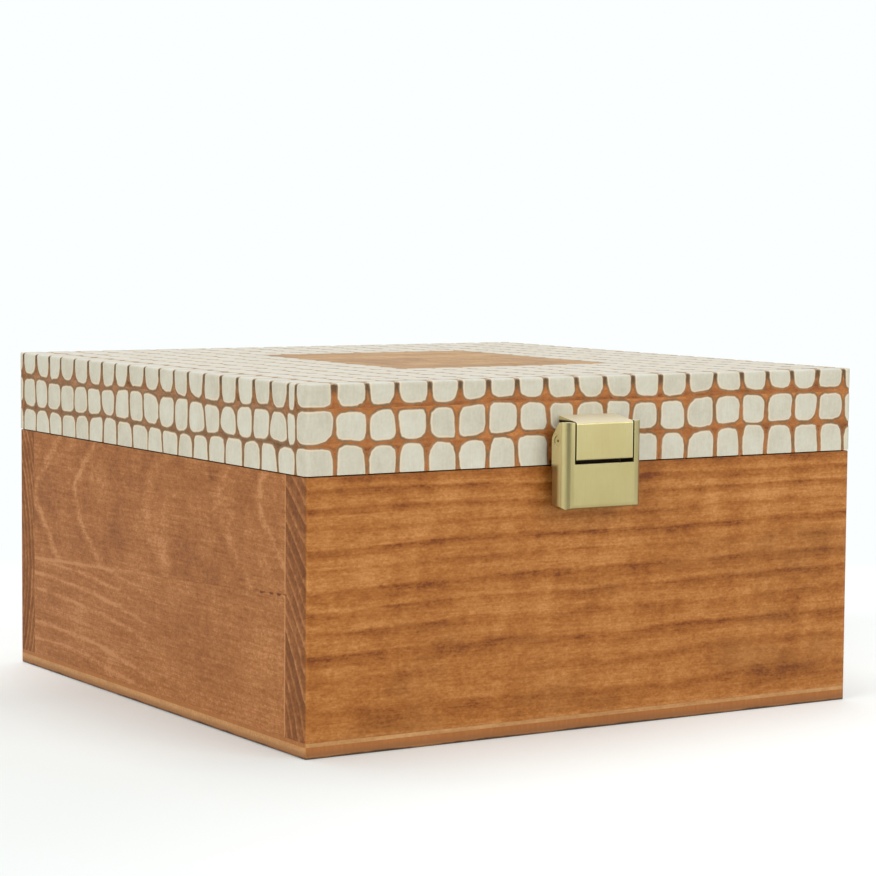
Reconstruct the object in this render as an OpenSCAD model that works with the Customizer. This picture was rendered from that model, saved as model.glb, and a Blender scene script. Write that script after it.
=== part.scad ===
// Wooden compartment box: a stained pine box with crossed dividers, a hinged lid with a painted
// outside, two stop hinges at the back and a sprung lever latch at the front.
// Origin at the centre of the underside, +X to the right, +Y to the back, +Z up, millimetres.

/* [Box] */
// Outside width, left to right
box_w = 170; // [140:1:240]
// Outside depth, front to back
box_d = 170; // [140:1:240]
// Height from the table to the top of the walls
body_h = 68.6; // [60:0.2:100]
// Thickness of the wall boards
wall_t = 10; // [9:0.5:14]
// Thickness of the base board
base_t = 4; // [3:0.5:8]
// Rounding under the edge of the base board
foot_r = 0.8; // [0.3:0.1:1.2]
// Rounding of the outer upright edges
corner_r = 1.2; // [0.4:0.1:2.5]

/* [Side panels] */
// Height of the glue line above the table at the back of a side panel
glue_back_z = 32; // [20:0.5:45]
// Height of the glue line above the table at the front of a side panel
glue_front_z = 39; // [20:0.5:45]

/* [Lid] */
// Height of the lid, top board included
lid_h = 22.1; // [20:0.1:40]
// Thickness of the top board
lid_top_t = 6; // [4:0.5:8]
// Rounding of the top board's upper edges
lid_edge_r = 0.7; // [0.3:0.1:3]
// Gap between the walls and the closed lid
seam_gap = 0.3; // [0.25:0.05:0.8]

/* [Dividers] */
// Compartments from left to right
columns = 2; // [2:1:4]
// Compartments from front to back
rows = 2; // [2:1:4]
// Thickness of a divider
divider_t = 5; // [3:0.5:8]
// Distance of the dividers' top below the top of the walls
divider_drop = 7; // [1:0.5:25]
// Gap between a divider's end and the wall
divider_gap = 0.2; // [0.1:0.05:0.5]
// Gap round a divider in the slot of the one it crosses
lap_gap = 0.1; // [0.05:0.05:0.3]

/* [Hinges] */
// Distance of a hinge's middle from the end of the box
hinge_inset = 35; // [24:1:50]
// Length of a hinge along its pin
hinge_len = 24; // [20:1:34]
// Width of a leaf from the back face of the box inwards
leaf_w = 8; // [7:0.25:8.5]
// Thickness of a leaf
leaf_t = 1; // [0.8:0.1:1.5]
// Gap between the two closed leaves
leaf_gap = 0.2; // [0.1:0.05:0.3]
// Outer radius of the knuckles
barrel_r = 2.1; // [1.8:0.1:3]
// Gap between the knuckles and the back face of the box
barrel_gap = 0.3; // [0.2:0.05:0.6]
// Radius of the hinge pin
pin_r = 1; // [0.7:0.05:1.2]
// Thickness of the hinge pin's heads
pin_head_t = 0.5; // [0.3:0.1:1]
// Gap along the pin between neighbouring knuckles
knuckle_gap = 0.2; // [0.1:0.05:0.4]
// Angle of the lid at which the hinge stops it
stop_angle = 103; // [90:1:120]
// Radius of the stop bead on the middle knuckle
stop_bead_r = 0.5; // [0.3:0.05:0.7]
// Distance between the two screws of a leaf
leaf_screw_spacing = 14; // [10:0.5:15]
// Length of a hinge screw under its head
leaf_screw_len = 9; // [6:0.5:11]

/* [Latch] */
// Place of the latch, to the right of the middle of the front
latch_x = -2.75; // [-20:0.25:20]
// Width of the lever
lever_w = 24.8; // [22:0.2:30]
// Reach of the lever above the top of the walls
lever_rise = 11.4; // [9:0.2:13]
// Reach of the lever below the top of the walls
lever_drop = 10.6; // [10.4:0.2:16]
// Distance of the lever's face from the front of the box
lever_depth = 8; // [7:0.25:11]
// Thickness of the lever's two cheeks
cheek_t = 3.2; // [2:0.1:4]
// Thickness of the lever's face and of its lower lip
lever_t = 1.2; // [0.8:0.1:1.6]
// Rounding of the lever's upright edges
lever_edge_r = 3.2; // [0.5:0.1:3.6]
// Rounding of the lever's lower edge
lever_foot_r = 1.2; // [0.5:0.1:2]
// Rounding of the lever's lower corners, seen from the front
lever_corner_r = 1.4; // [0.5:0.1:2.5]
// Gap between the lever's heel and the lid behind it
lever_gap = 2.3; // [0.3:0.1:2.6]
// Distance of the lever's lower half from the front of the box
lever_back = 2.6; // [2:0.1:3.2]
// Rounding of the lever's lower back corner
lever_back_r = 1.6; // [0.8:0.1:2]
// Height of the notch's lower edge above the top of the walls
notch_rise = 0.8; // [0:0.1:1.2]
// Height of the pivot above the top of the walls
pivot_rise = 6.7; // [5:0.1:8]
// Distance of the pivot from the front of the box
pivot_depth = 4.6; // [4.2:0.1:5.2]
// Radius of the pivot rivets
rivet_r = 0.8; // [0.6:0.05:1]
// Radius of the rivet heads
rivet_head_r = 1.3; // [1.1:0.05:1.5]
// Thickness of the rivet heads
rivet_head_t = 0.5; // [0.3:0.1:0.8]
// Depth of the rivets' outer heads below the sides of the lever
rivet_sink = 0.3; // [0.1:0.05:0.6]
// Gap on each side of the bracket in the notch
tab_gap = 0.45; // [0.2:0.05:0.6]
// Gap between the bracket and the notch's lower edge
tab_rise = 1; // [0.6:0.1:1.2]
// Thickness of the bracket's walls
bracket_t = 1.2; // [0.8:0.1:1.5]
// Rounding of the bracket's upper front edge
bracket_edge_r = 0.7; // [0.4:0.1:1.8]
// Rounding of the bracket's lower front edge
tab_edge_r = 0.4; // [0.2:0.1:1]
// Fall of the bracket's roof from the lid to its front
roof_fall = 1.4; // [0.5:0.1:3]
// Gap between a rivet's head and a screw boss
boss_gap = 0.6; // [0.3:0.05:1]
// Radius of the bracket screws
bracket_screw_r = 1.25; // [1:0.05:1.5]
// Depth of the bracket screws in their bosses
bracket_screw_grip = 4.5; // [3:0.25:5]
// Wall of a screw boss in the bracket
boss_wall = 0.75; // [0.5:0.05:1]

/* [Keeper] */
// Width of the keeper
keeper_w = 12; // [10:0.5:15]
// Height of the keeper's plate above its ledge
keeper_h = 7; // [5:0.25:8]
// Thickness of the keeper
keeper_t = 0.8; // [0.6:0.1:1.2]
// Gap between the end of the keeper's ledge and the lever's face
ledge_gap = 1.2; // [0.6:0.1:1.4]
// Height of the lever's upturned lip
lip_h = 0.5; // [0.3:0.05:0.8]
// Width of the lever's upturned lip and of the ledge's turned end
lip_t = 0.9; // [0.6:0.1:1.1]
// Height of the ledge's turned end, which the lip rises behind when the lid is pulled
hook_h = 0.5; // [0.3:0.05:0.8]
// Gap between the swinging lip and the ledge's turned end
swing_gap = 0.15; // [0.1:0.05:0.3]
// Distance between the two keeper screws
keeper_screw_spacing = 6; // [5:0.5:8]
// Length of a keeper screw under its head
keeper_screw_len = 7; // [5:0.5:8]

/* [Screws and fits] */
// Shank radius of the wood screws
screw_r = 0.9; // [0.7:0.05:1.1]
// Head radius of the wood screws
screw_head_r = 1.7; // [1.4:0.05:2]
// Length of a wood screw's point
screw_point = 1.5; // [1:0.1:2]
// Radial gap of a screw in its hole
screw_gap = 0.03; // [0.02:0.01:0.1]
// Radial gap of a pin or rivet in its bore
pin_gap = 0.05; // [0.02:0.01:0.1]
// Width of the slots in a cross-recessed head
cross_w = 0.5; // [0.3:0.05:0.6]
// Length of the cross in a wood screw's head
cross_len = 1.8; // [1.4:0.1:2.4]
// Depth of the cross in a wood screw's head
cross_depth = 0.45; // [0.3:0.05:0.6]
// Head radius of the bracket screws
bracket_head_r = 2.4; // [2:0.1:3]
// Head thickness of the bracket screws
bracket_head_t = 1.6; // [1:0.1:2]
// Length of the cross in a bracket screw's head
bracket_cross_len = 2.8; // [2:0.1:3.6]
// Depth of the cross in a bracket screw's head
bracket_cross_depth = 0.9; // [0.4:0.1:1.2]
// Gap round a leaf in its mortise
mortise_gap = 0.1; // [0.05:0.05:0.3]

/* [Hidden] */
$fn = 48;
// Length that carries a cut clear past a face
over = 1;

inner_w = box_w - 2 * wall_t;
inner_d = box_d - 2 * wall_t;
front_y = -box_d / 2;
back_y = box_d / 2;
lid_z = body_h + seam_gap;
lid_top_z = lid_z + lid_h - lid_top_t;

hinge_x = box_w / 2 - hinge_inset;
hinge_y = back_y + barrel_r + barrel_gap;
hinge_z = body_h + seam_gap / 2;
box_leaf_top = hinge_z - leaf_gap / 2;
box_leaf_floor = box_leaf_top - leaf_t;
lid_leaf_floor = hinge_z + leaf_gap / 2;
lid_leaf_top = lid_leaf_floor + leaf_t;
knuckle_len = (hinge_len - 2 * knuckle_gap) / 3;
pin_head_r = (pin_r + barrel_r) / 2;
leaf_screw_y = back_y - leaf_w / 2;

// Place of the stop bead: where it meets the end of the box leaf, turned back by the stop angle
stop_reach = barrel_r + barrel_gap - stop_bead_r;
stop_drop = leaf_gap / 2 + leaf_t / 2;
stop_radius = norm([stop_reach, stop_drop]);
stop_bearing = 180 + atan2(stop_drop, stop_reach) + stop_angle;

divider_h = body_h - base_t - divider_drop;
divider_slot = divider_t + 2 * lap_gap;
divider_lap_z = base_t + divider_h / 2;

lever_top = body_h + lever_rise;
lever_floor = body_h - lever_drop;
lip_floor = lever_floor + lever_t;
notch_w = lever_w - 2 * cheek_t;
notch_z = body_h + notch_rise;
pivot_z = body_h + pivot_rise;
bracket_w = notch_w - 2 * tab_gap;
tab_floor = notch_z + tab_rise;
boss_r = bracket_screw_r + boss_wall;
boss_len = bracket_screw_grip + boss_wall;
rivet_inner = bracket_w / 2 - bracket_t - pin_gap;
rivet_outer = lever_w / 2 - rivet_sink - rivet_head_t;
bracket_screw_x = rivet_inner - rivet_head_t - boss_gap - boss_r;
roof_back_z = lever_top + roof_fall;
ledge_reach = lever_depth - lever_t - ledge_gap;
// The lip swings on a circle round the pivot, and the ledge's turned end stays inside it
lip_swing_r = pivot_z - lip_floor - lip_h;
hook_floor = pivot_z - sqrt(pow(lip_swing_r - swing_gap, 2) - pow(ledge_reach - pivot_depth, 2));
ledge_floor = hook_floor + hook_h;
keeper_screw_z = ledge_floor + keeper_t + keeper_h / 2;

wood_front = "#b4743c";
wood_side = "#a86c3e";
wood_base = "#b98a52";
wood_inside = "#c4925c";
paint = "#dcd7ca";
brass = "#c9bf86";
brass_dark = "#a89a5e";

// Helpers

// Extrudes an outline drawn in (Y, Z) to the right, from x = 0
module extrude_x(length) {
  rotate([90, 0, 90]) linear_extrude(length) children();
}

// Extrudes an outline drawn in (X, Z) to the front, from y = 0
module extrude_to_front(length) {
  rotate([90, 0, 0]) linear_extrude(length) children();
}

// Puts children on the middle of the latch, with +Y pointing out of the front of the box
module at_latch() {
  translate([latch_x, front_y, 0]) mirror([0, 1, 0]) children();
}

// Puts children at one hinge, side -1 for the left and 1 for the right
module at_hinge(side) {
  translate([side * hinge_x, 0, 0]) children();
}

// Rectangle from the origin whose two upper corners are round
module top_rounded(w, h, r) {
  union() {
    square([w, h - r]);
    translate([r, 0]) square([w - 2 * r, h]);
    translate([r, h - r]) circle(r);
    translate([w - r, h - r]) circle(r);
  }
}

// Plan of the whole box with round corners
module box_plan() {
  union() {
    translate([-box_w / 2 + corner_r, -box_d / 2]) square([box_w - 2 * corner_r, box_d]);
    translate([-box_w / 2, -box_d / 2 + corner_r]) square([box_w, box_d - 2 * corner_r]);
    for (sx = [-1, 1], sy = [-1, 1])
      translate([sx * (box_w / 2 - corner_r), sy * (box_d / 2 - corner_r)]) circle(corner_r);
  }
}

// Plan of a board that spans the full width, outer corners round, outer face on y = 0
module end_board_plan() {
  translate([-box_w / 2, wall_t]) mirror([0, 1]) top_rounded(box_w, wall_t, corner_r);
}

// Front or back board between two heights, outer face where it belongs
module end_board(side, z0, z1) {
  translate([0, side * box_d / 2, z0])
    mirror([0, side > 0 ? 1 : 0, 0])
      linear_extrude(z1 - z0) end_board_plan();
}

// Cross recess in a screw head, from z = 0 down
module cross_recess(length, depth) {
  for (turn = [0, 90]) rotate([0, 0, turn])
    translate([-length / 2, -cross_w / 2, -depth]) cube([length, cross_w, depth + over]);
}

// Countersunk wood screw, head on z = 0 and point down
module wood_screw(head_t, length) {
  difference() {
    translate([0, 0, -head_t]) cylinder(h = head_t, r1 = screw_r, r2 = screw_head_r);
    cross_recess(cross_len, cross_depth);
  }
  translate([0, 0, -head_t - length + screw_point]) cylinder(h = length - screw_point, r = screw_r);
  translate([0, 0, -head_t - length]) cylinder(h = screw_point, r1 = screw_r / 4, r2 = screw_r);
}

// Room for that screw's shank in wood, from z = 0 down
module wood_screw_bore(length) {
  translate([0, 0, -length - screw_gap]) cylinder(h = length + screw_gap + over, r = screw_r + screw_gap);
}

// Room for that screw's head in a plate
module countersink(head_t) {
  translate([0, 0, -head_t])
    cylinder(h = head_t, r1 = screw_r + screw_gap, r2 = screw_head_r + screw_gap);
}

// Box

// Section of the base board, lower corners round
module base_profile(w) {
  translate([-w / 2, base_t]) mirror([0, 1]) top_rounded(w, base_t, foot_r);
}

module base_board() {
  color(wood_base) intersection() {
    linear_extrude(base_t) box_plan();
    translate([-box_w / 2, 0, 0]) extrude_x(box_w) base_profile(box_d);
    translate([0, box_d / 2, 0]) extrude_to_front(box_d) base_profile(box_w);
  }
}

module front_board() {
  color(wood_front) difference() {
    end_board(-1, base_t, body_h);
    at_latch() keeper_screw_places() wood_screw_bore(keeper_screw_len);
  }
}

module back_board() {
  color(wood_front) difference() {
    end_board(1, base_t, body_h);
    for (side = [-1, 1]) at_hinge(side) {
      leaf_mortise(box_leaf_floor);
      leaf_screw_places(box_leaf_floor) wood_screw_bore(leaf_screw_len);
    }
  }
}

// A side panel is two boards glued edge to edge along a line that isn't quite level
module side_board(side, outline) {
  color(wood_side)
    translate([side > 0 ? box_w / 2 - wall_t : -box_w / 2, 0, 0])
      extrude_x(wall_t) polygon(outline);
}

module side_upper(side) {
  side_board(side, [
    [-inner_d / 2, glue_front_z], [inner_d / 2, glue_back_z],
    [inner_d / 2, body_h], [-inner_d / 2, body_h]
  ]);
}

module side_lower(side) {
  side_board(side, [
    [-inner_d / 2, base_t], [inner_d / 2, base_t],
    [inner_d / 2, glue_back_z], [-inner_d / 2, glue_front_z]
  ]);
}

// Dividers, halved into each other where they cross

function column_x(i) = -inner_w / 2 + inner_w * i / columns;
function row_y(j) = -inner_d / 2 + inner_d * j / rows;

module dividers_lengthwise() {
  color(wood_inside) for (j = [1:rows - 1]) difference() {
    translate([-inner_w / 2 + divider_gap, row_y(j) - divider_t / 2, base_t])
      cube([inner_w - 2 * divider_gap, divider_t, divider_h]);
    for (i = [1:columns - 1])
      translate([column_x(i) - divider_slot / 2, row_y(j) - divider_t, divider_lap_z - lap_gap])
        cube([divider_slot, 2 * divider_t, divider_h]);
  }
}

module dividers_crosswise() {
  color(wood_inside) for (i = [1:columns - 1]) difference() {
    translate([column_x(i) - divider_t / 2, -inner_d / 2 + divider_gap, base_t])
      cube([divider_t, inner_d - 2 * divider_gap, divider_h]);
    for (j = [1:rows - 1])
      translate([column_x(i) - divider_t, row_y(j) - divider_slot / 2, divider_lap_z + lap_gap - divider_h])
        cube([2 * divider_t, divider_slot, divider_h]);
  }
}

// Lid

module lid_top_board() {
  color(paint) intersection() {
    translate([0, 0, lid_top_z]) linear_extrude(lid_top_t) box_plan();
    translate([-box_w / 2, -box_d / 2, lid_top_z])
      extrude_x(box_w) top_rounded(box_d, lid_top_t, lid_edge_r);
    translate([-box_w / 2, box_d / 2, lid_top_z])
      extrude_to_front(box_d) top_rounded(box_w, lid_top_t, lid_edge_r);
  }
}

module lid_front_board() {
  color(paint) difference() {
    end_board(-1, lid_z, lid_top_z);
    at_latch() bracket_screw_places()
      translate([0, 0, -wall_t - over])
        cylinder(h = wall_t + 2 * over, r = bracket_screw_r + screw_gap);
  }
}

module lid_back_board() {
  color(paint) difference() {
    end_board(1, lid_z, lid_top_z);
    for (side = [-1, 1]) at_hinge(side) {
      leaf_mortise(lid_z - over, lid_leaf_top);
      leaf_screw_places(lid_leaf_top) mirror([0, 0, 1]) wood_screw_bore(leaf_screw_len);
    }
  }
}

module lid_side_board(side) {
  color(paint)
    translate([side > 0 ? box_w / 2 - wall_t : -box_w / 2, -inner_d / 2, lid_z])
      cube([wall_t, inner_d, lid_top_z - lid_z]);
}

// Hinges

// Recess for a leaf, open at the back; the box's runs up from z0 and the lid's ends at z1
module leaf_mortise(z0, z1 = body_h + over) {
  translate([-hinge_len / 2 - mortise_gap, back_y - leaf_w - mortise_gap, z0])
    cube([hinge_len + 2 * mortise_gap, leaf_w + mortise_gap + over, z1 - z0]);
}

module leaf_screw_places(z) {
  for (s = [-1, 1]) translate([s * leaf_screw_spacing / 2, leaf_screw_y, z]) children();
}

// Knuckle number 0, 1 or 2 along the pin
module knuckle_span(number) {
  translate([-hinge_len / 2 + number * (knuckle_len + knuckle_gap), 0, 0]) children();
}

// One leaf lying flat with its underside on z = floor_z, and its knuckles round the pin
module leaf(floor_z, numbers) {
  difference() {
    union() {
      translate([-hinge_len / 2, back_y - leaf_w, floor_z]) cube([hinge_len, leaf_w, leaf_t]);
      for (n = numbers) knuckle_span(n) {
        translate([0, back_y - leaf_w, floor_z]) cube([knuckle_len, hinge_y - back_y + leaf_w, leaf_t]);
        translate([0, hinge_y, hinge_z]) rotate([0, 90, 0]) cylinder(h = knuckle_len, r = barrel_r);
      }
    }
    translate([-hinge_len / 2 - over, hinge_y, hinge_z])
      rotate([0, 90, 0]) cylinder(h = hinge_len + 2 * over, r = pin_r + pin_gap);
  }
}

module hinge_box_leaf(side) {
  color(brass) at_hinge(side) difference() {
    leaf(box_leaf_floor, [0, 2]);
    leaf_screw_places(box_leaf_top) countersink(leaf_t);
  }
}

// The bead on the middle knuckle stops the lid
module hinge_lid_leaf(side) {
  color(brass) at_hinge(side) difference() {
    union() {
      leaf(lid_leaf_floor, [1]);
      knuckle_span(1)
        translate([0, hinge_y + stop_radius * cos(stop_bearing), hinge_z + stop_radius * sin(stop_bearing)])
          rotate([0, 90, 0]) cylinder(h = knuckle_len, r = stop_bead_r);
    }
    leaf_screw_places(lid_leaf_floor) mirror([0, 0, 1]) countersink(leaf_t);
    translate([-hinge_len / 2 - over, hinge_y, hinge_z])
      rotate([0, 90, 0]) cylinder(h = hinge_len + 2 * over, r = pin_r + pin_gap);
  }
}

// Pin with a peened head at each end
module hinge_pin(side) {
  color(brass_dark) at_hinge(side) translate([0, hinge_y, hinge_z]) rotate([0, 90, 0]) {
    translate([0, 0, -hinge_len / 2 - pin_gap]) cylinder(h = hinge_len + 2 * pin_gap, r = pin_r);
    for (s = [0, 1]) mirror([0, 0, s])
      translate([0, 0, hinge_len / 2 + pin_gap]) cylinder(h = pin_head_t, r = pin_head_r);
  }
}

module hinge_box_screws() {
  color(brass_dark) for (side = [-1, 1]) at_hinge(side)
    leaf_screw_places(box_leaf_top) wood_screw(leaf_t, leaf_screw_len);
}

module hinge_lid_screws() {
  color(brass_dark) for (side = [-1, 1]) at_hinge(side)
    leaf_screw_places(lid_leaf_floor) mirror([0, 0, 1]) wood_screw(leaf_t, leaf_screw_len);
}

// Latch, drawn with +Y out of the front of the box

// Extrudes an outline drawn in (Y, Z) to both sides of the latch's middle
module across_latch(width) {
  translate([-width / 2, 0, 0]) extrude_x(width) children();
}

module pivot_bore(r) {
  translate([-lever_w / 2 - over, pivot_depth, pivot_z])
    rotate([0, 90, 0]) cylinder(h = lever_w + 2 * over, r = r);
}

// Side of the lever: a round heel about the pivot, a slope up to the face and a lower half
module lever_side() {
  heel_r = pivot_depth - lever_gap;
  crest_d = pivot_depth + rivet_r;
  // Direction from the pivot in which the slope leaves the heel, from upright towards the lid
  slope_turn = acos(heel_r / norm([rivet_r, lever_top - pivot_z])) - atan2(rivet_r, lever_top - pivot_z);
  difference() {
    union() {
      polygon([
        [pivot_depth, pivot_z], [lever_depth, pivot_z], [lever_depth, lever_top], [crest_d, lever_top],
        [pivot_depth - heel_r * sin(slope_turn), pivot_z + heel_r * cos(slope_turn)]
      ]);
      translate([lever_gap, body_h]) square([lever_depth - lever_gap, pivot_rise]);
      translate([pivot_depth, pivot_z]) circle(heel_r);
      translate([lever_back, lever_floor + lever_back_r])
        square([lever_depth - lever_back, lever_drop - lever_back_r]);
      translate([lever_back + lever_back_r, lever_floor])
        square([lever_depth - lever_back - lever_back_r, lever_drop]);
      translate([lever_back + lever_back_r, lever_floor + lever_back_r]) circle(lever_back_r);
    }
    difference() {
      translate([lever_depth - lever_foot_r, lever_floor - over]) square(lever_foot_r + over);
      translate([lever_depth - lever_foot_r, lever_floor + lever_foot_r]) circle(lever_foot_r);
    }
  }
}

module lever_plan() {
  translate([-lever_w / 2, 0]) top_rounded(lever_w, lever_depth, lever_edge_r);
}

// Front view of the lever, lower corners round
module lever_front() {
  translate([-lever_w / 2, lever_top]) mirror([0, 1])
    top_rounded(lever_w, lever_top - lever_floor, lever_corner_r);
}

module latch_lever() {
  color(brass) at_latch() difference() {
    union() {
      difference() {
        intersection() {
          translate([0, 0, lever_floor]) linear_extrude(lever_top - lever_floor) lever_plan();
          across_latch(lever_w) lever_side();
          translate([0, lever_depth, 0]) extrude_to_front(lever_depth) lever_front();
        }
        // Hollow behind the face
        translate([-notch_w / 2, -over, lip_floor])
          cube([notch_w, lever_depth - lever_t + over, lever_top - lip_floor + over]);
        // Notch for the bracket
        translate([-notch_w / 2, 0, notch_z])
          cube([notch_w, lever_depth + over, lever_top - notch_z + over]);
      }
      // Upturned lip that lies behind the turned end of the keeper's ledge
      intersection() {
        translate([-notch_w / 2, lever_back, lever_floor])
          cube([notch_w, lip_t, lever_t + lip_h]);
        across_latch(notch_w) lever_side();
      }
    }
    pivot_bore(rivet_r + pin_gap);
    // Counterbores for the rivets' outer heads
    for (s = [0, 1]) mirror([s, 0, 0])
      translate([rivet_outer - pin_gap, pivot_depth, pivot_z]) rotate([0, 90, 0])
        cylinder(h = rivet_head_t + rivet_sink + over, r = rivet_head_r + pin_gap);
  }
}

module bracket_screw_places() {
  for (s = [-1, 1]) translate([s * bracket_screw_x, 0, pivot_z])
    rotate([-90, 0, 0]) children();
}

// Height of the bracket's roof at a distance from the lid
function roof_z(d) = roof_back_z - roof_fall * d / lever_depth;

// Section of the bracket: a sloping roof and a face, with round front edges
module bracket_side() {
  bend_d = lever_depth - bracket_edge_r;
  bend_z = roof_z(bend_d) - bracket_edge_r * norm([1, roof_fall / lever_depth]);
  foot_d = lever_depth - tab_edge_r;
  difference() {
    polygon([
      [0, tab_floor], [lever_depth, tab_floor],
      [lever_depth, roof_z(lever_depth)], [0, roof_back_z]
    ]);
    difference() {
      translate([bend_d, bend_z]) square(bracket_edge_r + over);
      translate([bend_d, bend_z]) circle(bracket_edge_r);
    }
    difference() {
      translate([foot_d, tab_floor - over]) square(tab_edge_r + over);
      translate([foot_d, tab_floor + tab_edge_r]) circle(tab_edge_r);
    }
  }
}

// Hollow of the bracket, open below
module bracket_hollow() {
  polygon([
    [bracket_t, tab_floor - over], [lever_depth - bracket_t, tab_floor - over],
    [lever_depth - bracket_t, roof_z(lever_depth) - bracket_t],
    [bracket_t, roof_z(bracket_t) - bracket_t]
  ]);
}

module latch_bracket() {
  color(brass) at_latch() difference() {
    union() {
      difference() {
        across_latch(bracket_w) bracket_side();
        across_latch(bracket_w - 2 * bracket_t) bracket_hollow();
      }
      bracket_screw_places() cylinder(h = boss_len, r = boss_r);
    }
    bracket_screw_places() translate([0, 0, -over])
      cylinder(h = bracket_screw_grip + over, r = bracket_screw_r + screw_gap);
    for (s = [0, 1]) mirror([s, 0, 0])
      translate([rivet_inner - over, pivot_depth, pivot_z])
        rotate([0, 90, 0]) cylinder(h = bracket_t + 2 * over, r = rivet_r + pin_gap);
  }
}

// Machine screws driven from inside the lid
module latch_bracket_screws() {
  color(brass_dark) at_latch() bracket_screw_places() {
    translate([0, 0, -wall_t]) cylinder(h = wall_t + bracket_screw_grip - screw_gap, r = bracket_screw_r);
    translate([0, 0, -wall_t - bracket_head_t]) difference() {
      cylinder(h = bracket_head_t, r = bracket_head_r);
      mirror([0, 0, 1]) cross_recess(bracket_cross_len, bracket_cross_depth);
    }
  }
}

// Two short rivets, each through a cheek of the lever and an ear of the bracket
module latch_pivot_rivets() {
  color(brass_dark) at_latch() for (s = [0, 1]) mirror([s, 0, 0])
    translate([0, pivot_depth, pivot_z]) rotate([0, 90, 0]) {
      translate([0, 0, rivet_inner]) cylinder(h = rivet_outer - rivet_inner, r = rivet_r);
      translate([0, 0, rivet_inner - rivet_head_t]) cylinder(h = rivet_head_t, r = rivet_head_r);
      translate([0, 0, rivet_outer]) cylinder(h = rivet_head_t, r = rivet_head_r);
    }
}

module keeper_screw_places() {
  for (s = [-1, 1]) translate([s * keeper_screw_spacing / 2, 0, keeper_screw_z])
    rotate([-90, 0, 0]) children();
}

// Spring-brass clip: a plate on the box and a ledge whose end turns down over the lever's lip
module latch_keeper() {
  color(brass_dark) at_latch() difference() {
    across_latch(keeper_w) union() {
      translate([0, ledge_floor]) square([keeper_t, keeper_t + keeper_h]);
      translate([0, ledge_floor]) square([ledge_reach, keeper_t]);
      translate([ledge_reach - lip_t, hook_floor]) square([lip_t, hook_h + keeper_t]);
    }
    keeper_screw_places() translate([0, 0, keeper_t]) countersink(keeper_t);
  }
}

module latch_keeper_screws() {
  color(brass_dark) at_latch() keeper_screw_places()
    translate([0, 0, keeper_t]) wood_screw(keeper_t, keeper_screw_len);
}

base_board();
front_board();
back_board();
side_upper(-1);  // left_side_upper
side_lower(-1);  // left_side_lower
side_upper(1);  // right_side_upper
side_lower(1);  // right_side_lower
dividers_lengthwise();
dividers_crosswise();
lid_top_board();
lid_front_board();
lid_back_board();
lid_side_board(-1);  // lid_left_board
lid_side_board(1);  // lid_right_board
hinge_box_leaf(-1);  // hinge_box_leaf_left
hinge_box_leaf(1);  // hinge_box_leaf_right
hinge_lid_leaf(-1);  // hinge_lid_leaf_left
hinge_lid_leaf(1);  // hinge_lid_leaf_right
hinge_pin(-1);  // hinge_pin_left
hinge_pin(1);  // hinge_pin_right
hinge_box_screws();
hinge_lid_screws();
latch_bracket();
latch_bracket_screws();
latch_pivot_rivets();
latch_lever();
latch_keeper();
latch_keeper_screws();
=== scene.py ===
"""Looks of a wooden compartment box: stained pine, a lid painted in rounded cells, and satin brass."""
import math
import random
import typing

import bmesh
import bpy
from mathutils import Matrix, Vector


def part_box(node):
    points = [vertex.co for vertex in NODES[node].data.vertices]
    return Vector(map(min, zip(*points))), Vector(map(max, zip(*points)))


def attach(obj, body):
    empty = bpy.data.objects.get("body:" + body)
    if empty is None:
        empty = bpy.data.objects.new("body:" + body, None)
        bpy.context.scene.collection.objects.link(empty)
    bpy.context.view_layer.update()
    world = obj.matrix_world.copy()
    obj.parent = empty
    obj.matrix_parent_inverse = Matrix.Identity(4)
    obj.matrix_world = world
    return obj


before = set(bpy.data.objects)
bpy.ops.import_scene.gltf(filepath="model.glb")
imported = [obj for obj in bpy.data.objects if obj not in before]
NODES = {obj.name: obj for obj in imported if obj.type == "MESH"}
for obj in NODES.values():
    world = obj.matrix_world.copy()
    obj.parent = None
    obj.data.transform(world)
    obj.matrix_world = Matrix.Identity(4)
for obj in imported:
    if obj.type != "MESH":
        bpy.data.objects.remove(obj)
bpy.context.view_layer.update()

MM = 0.001
AXES = "xyz"


# Shading helpers

# How far a noise moves along x, y and z for each whole seed
SEED_SHIFT = (7.1, 3.7, 5.3)


def rgb(red, green, blue):
    """A colour as a screen shows it, 0 to 255, as the linear colour that a shader takes."""
    def linear(part):
        part /= 255
        return part / 12.92 if part <= 0.04045 else ((part + 0.055) / 1.055) ** 2.4
    return (linear(red), linear(green), linear(blue), 1.0)


def shades(*colours):
    """Several colours as a screen shows them, as linear colours."""
    return [rgb(*colour) for colour in colours]


class Value:
    """A number that varies over a surface. Arithmetic on it adds math nodes to its shader."""

    def __init__(self, shader, socket):
        self.shader = shader
        self.socket = socket

    def math(self, operation, other=0.0):
        return self.shader.math(operation, self, other)

    def __add__(self, other):
        return self.math("ADD", other)

    __radd__ = __add__

    def __sub__(self, other):
        return self.math("SUBTRACT", other)

    def __rsub__(self, other):
        return self.shader.math("SUBTRACT", other, self)

    def __mul__(self, other):
        return self.math("MULTIPLY", other)

    def __truediv__(self, other):
        return self.math("DIVIDE", other)

    def __pow__(self, other):
        return self.math("POWER", other)

    def size(self):
        return self.math("ABSOLUTE")

    def root(self):
        return self.math("SQRT")

    def fract(self):
        return self.math("FRACT")

    def floor(self):
        return self.math("FLOOR")

    def least(self, other):
        return self.math("MINIMUM", other)

    def most(self, other):
        return self.math("MAXIMUM", other)

    def step(self, low, high):
        """Goes smoothly from 0 at low to 1 at high."""
        made = self.shader.node("ShaderNodeMapRange", interpolation_type="SMOOTHSTEP")
        for name, value in (("Value", self), ("From Min", low), ("From Max", high)):
            self.shader.put(made.inputs[name], value)
        return Value(self.shader, made.outputs["Result"])


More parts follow.
